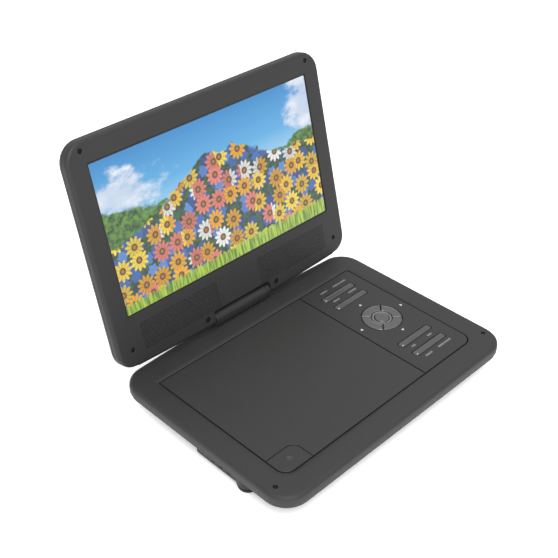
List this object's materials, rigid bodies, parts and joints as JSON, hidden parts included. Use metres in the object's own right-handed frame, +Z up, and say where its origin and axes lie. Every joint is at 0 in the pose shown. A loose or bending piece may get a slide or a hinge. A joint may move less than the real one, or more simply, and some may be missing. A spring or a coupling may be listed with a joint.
{
  "type": "portable dvd player",
  "caption": "Clamshell disc player with a swivelling, tilting widescreen lid over a base with a disc door and a key panel.",
  "frame": {"origin": "centre of the player's footprint in its open rest pose, on the surface that it stands on", "axes": "+X to the viewer's right along the hinge, +Y from the front edge to the back, +Z up"},
  "size_m": [0.2588, 0.2344, 0.216],
  "materials": {
    "body_plastic": "fine moulded texture",
    "dark_plastic": "fine moulded texture",
    "key_plastic": "satin",
    "silver_ring": "satin",
    "rubber": "matt",
    "black_plastic": "satin",
    "steel": "satin",
    "circuit_board": "solder mask",
    "battery_wrap": "shrink wrap",
    "cream_plastic": "natural",
    "lens": "polished",
    "screen": "semi-gloss display face"
  },
  "bodies": {
    "base": {"base_top_cover": "body_plastic", "base_bottom_cover": "dark_plastic", "foot_front_left": "rubber", "foot_front_right": "rubber", "foot_back_left": "rubber", "foot_back_right": "rubber", "base_bumper_left": "rubber", "base_bumper_right": "rubber", "control_panel": "body_plastic", "nav_ring": "silver_ring", "keypad_board": "circuit_board", "disc_deck": "dark_plastic", "loader_chassis": "steel", "guide_rod_front": "steel", "guide_rod_back": "steel", "spindle_motor": "steel", "sled_motor": "steel", "main_board": "circuit_board", "battery_pack": "battery_wrap", "jack_board": "circuit_board", "dc_jack": "black_plastic", "av_jack": "black_plastic", "headphone_jack": "black_plastic", "usb_port": "steel"},
    "swivel_head": {"hinge_barrel": "body_plastic", "barrel_cap_left": "body_plastic", "barrel_cap_right": "body_plastic", "tilt_shaft": "steel", "swivel_washer": "steel"},
    "lid": {"lid_front_bezel": "body_plastic", "lid_back_cover": "dark_plastic", "lcd_panel": "screen", "lcd_backlight": "steel", "screen_board": "circuit_board", "speaker_left": "black_plastic", "speaker_right": "black_plastic", "lid_plug_low_left": "rubber", "lid_plug_low_right": "rubber", "lid_plug_top_left": "rubber", "lid_plug_top_right": "rubber", "hinge_cap_left": "rubber", "hinge_cap_right": "rubber"},
    "door": {"disc_door": "body_plastic"},
    "open_button": {"open_button": "body_plastic"},
    "latch": {"door_latch": "cream_plastic"},
    "menu_key": {"menu_key": "key_plastic"},
    "mode_key": {"mode_key": "key_plastic"},
    "track_key": {"track_key": "key_plastic"},
    "volume_key": {"volume_key": "key_plastic"},
    "nav_right": {"nav_right": "key_plastic"},
    "nav_up": {"nav_up": "key_plastic"},
    "nav_left": {"nav_left": "key_plastic"},
    "nav_down": {"nav_down": "key_plastic"},
    "ok_key": {"ok_key": "key_plastic"},
    "spindle": {"spindle_hub": "black_plastic"},
    "sled": {"pickup_sled": "dark_plastic", "pickup_lens": "lens"},
    "sled_gear": {"sled_gear": "cream_plastic"},
    "power_switch": {"power_switch": "key_plastic"},
    "volume_wheel": {"volume_wheel": "black_plastic"}
  },
  "joints": [
    {"name": "screen_swivel", "type": "hinge", "parent": "base", "child": "swivel_head", "pos_m": [0, 0.06764, 0.029], "axis": [0, 0, 1], "range_deg": [-90, 180]},
    {"name": "screen_tilt", "type": "hinge", "parent": "swivel_head", "child": "lid", "pos_m": [0, 0.06764, 0.0353], "axis": [1, 0, 0], "range_deg": [-76, 103.9]},
    {"name": "door_hinge", "type": "hinge", "parent": "base", "child": "door", "pos_m": [0, 0.04154, 0.0263], "axis": [-1, 0, 0], "range_deg": [0, 38]},
    {"name": "open_press", "type": "slide", "parent": "base", "child": "open_button", "axis": [0, 0, -1], "range_m": [0, 0.001], "stiffness_N_per_m": 800, "springref_m": -0.0008},
    {"name": "latch_slide", "type": "slide", "parent": "base", "child": "latch", "axis": [0, 1, 0], "range_m": [0, 0.001]},
    {"name": "menu_key_rock", "type": "hinge", "parent": "base", "child": "menu_key", "pos_m": [0.07815, 0.02564, 0.0253], "axis": [0, 1, 0], "range_deg": [-1.2, 1.2], "stiffness_Nm_per_rad": 0.2},
    {"name": "mode_key_rock", "type": "hinge", "parent": "base", "child": "mode_key", "pos_m": [0.07815, 0.01074, 0.0253], "axis": [0, 1, 0], "range_deg": [-1.2, 1.2], "stiffness_Nm_per_rad": 0.2},
    {"name": "track_key_rock", "type": "hinge", "parent": "base", "child": "track_key", "pos_m": [0.07815, -0.06006, 0.0253], "axis": [0, 1, 0], "range_deg": [-1.2, 1.2], "stiffness_Nm_per_rad": 0.2},
    {"name": "volume_key_rock", "type": "hinge", "parent": "base", "child": "volume_key", "pos_m": [0.07815, -0.07516, 0.0253], "axis": [0, 1, 0], "range_deg": [-1.2, 1.2], "stiffness_Nm_per_rad": 0.2},
    {"name": "nav_right_press", "type": "slide", "parent": "base", "child": "nav_right", "axis": [0, 0, -1], "range_m": [0, 0.0006], "stiffness_N_per_m": 800, "springref_m": -0.0005},
    {"name": "nav_up_press", "type": "slide", "parent": "base", "child": "nav_up", "axis": [0, 0, -1], "range_m": [0, 0.0006], "stiffness_N_per_m": 800, "springref_m": -0.0005},
    {"name": "nav_left_press", "type": "slide", "parent": "base", "child": "nav_left", "axis": [0, 0, -1], "range_m": [0, 0.0006], "stiffness_N_per_m": 800, "springref_m": -0.0005},
    {"name": "nav_down_press", "type": "slide", "parent": "base", "child": "nav_down", "axis": [0, 0, -1], "range_m": [0, 0.0006], "stiffness_N_per_m": 800, "springref_m": -0.0005},
    {"name": "ok_key_press", "type": "slide", "parent": "base", "child": "ok_key", "axis": [0, 0, -1], "range_m": [0, 0.0006], "stiffness_N_per_m": 800, "springref_m": -0.0005},
    {"name": "spindle_spin", "type": "hinge", "parent": "base", "child": "spindle", "pos_m": [-0.0305, -0.02616, 0.02], "axis": [0, 0, 1], "continuous": true},
    {"name": "sled_travel", "type": "slide", "parent": "base", "child": "sled", "axis": [1, 0, 0], "range_m": [0, 0.032]},
    {"name": "sled_gear_turn", "type": "hinge", "parent": "base", "child": "sled_gear", "pos_m": [0.01, -0.05436, 0.0114], "axis": [0, 0, 1], "range_deg": [0, 310]},
    {"name": "power_slide", "type": "slide", "parent": "base", "child": "power_switch", "axis": [0, 1, 0], "range_m": [0, 0.003]},
    {"name": "volume_turn", "type": "hinge", "parent": "base", "child": "volume_wheel", "pos_m": [-0.1146, -0.00116, 0.0126], "axis": [0, 0, 1], "range_deg": [-150, 150]}
  ],
  "couplings": [
    {"joint": "latch_slide", "follows": "open_press", "ratio": 1},
    {"joint": "sled_gear_turn", "follows": "sled_travel", "rad_per_m": 166.67}
  ]
}
